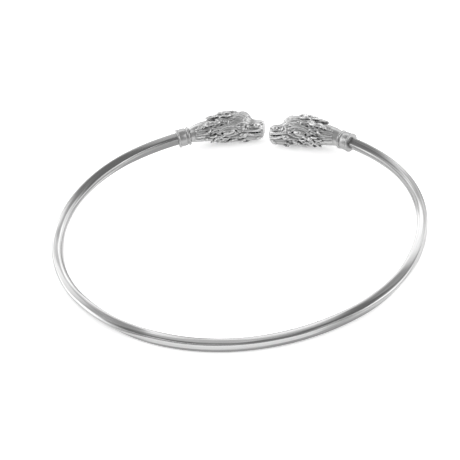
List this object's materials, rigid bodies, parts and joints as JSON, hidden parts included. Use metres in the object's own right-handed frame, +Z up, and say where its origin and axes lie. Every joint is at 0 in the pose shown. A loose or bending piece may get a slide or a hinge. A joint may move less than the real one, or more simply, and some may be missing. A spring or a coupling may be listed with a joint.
{
  "type": "animal head bracelet",
  "caption": "Open oval bangle of square silver wire with a cast maned animal head on each end, facing each other across a small gap.",
  "frame": {"origin": "middle of the whole bangle's outline, on the surface that it rests on", "axes": "+Z up from that surface, +X across the wrist's width from the left head to the right head, +Y from the front of the hoop to the heads"},
  "size_m": [0.0648, 0.0578, 0.0061],
  "materials": {
    "polished_silver_wire": "drawn and hand polished, with fine hairlines",
    "cast_silver": "cast, polished on the high places and darkened in the recesses"
  },
  "bodies": {
    "root": {"hoop": "polished_silver_wire", "left_head": "cast_silver", "right_head": "cast_silver"}
  },
  "joints": []
}
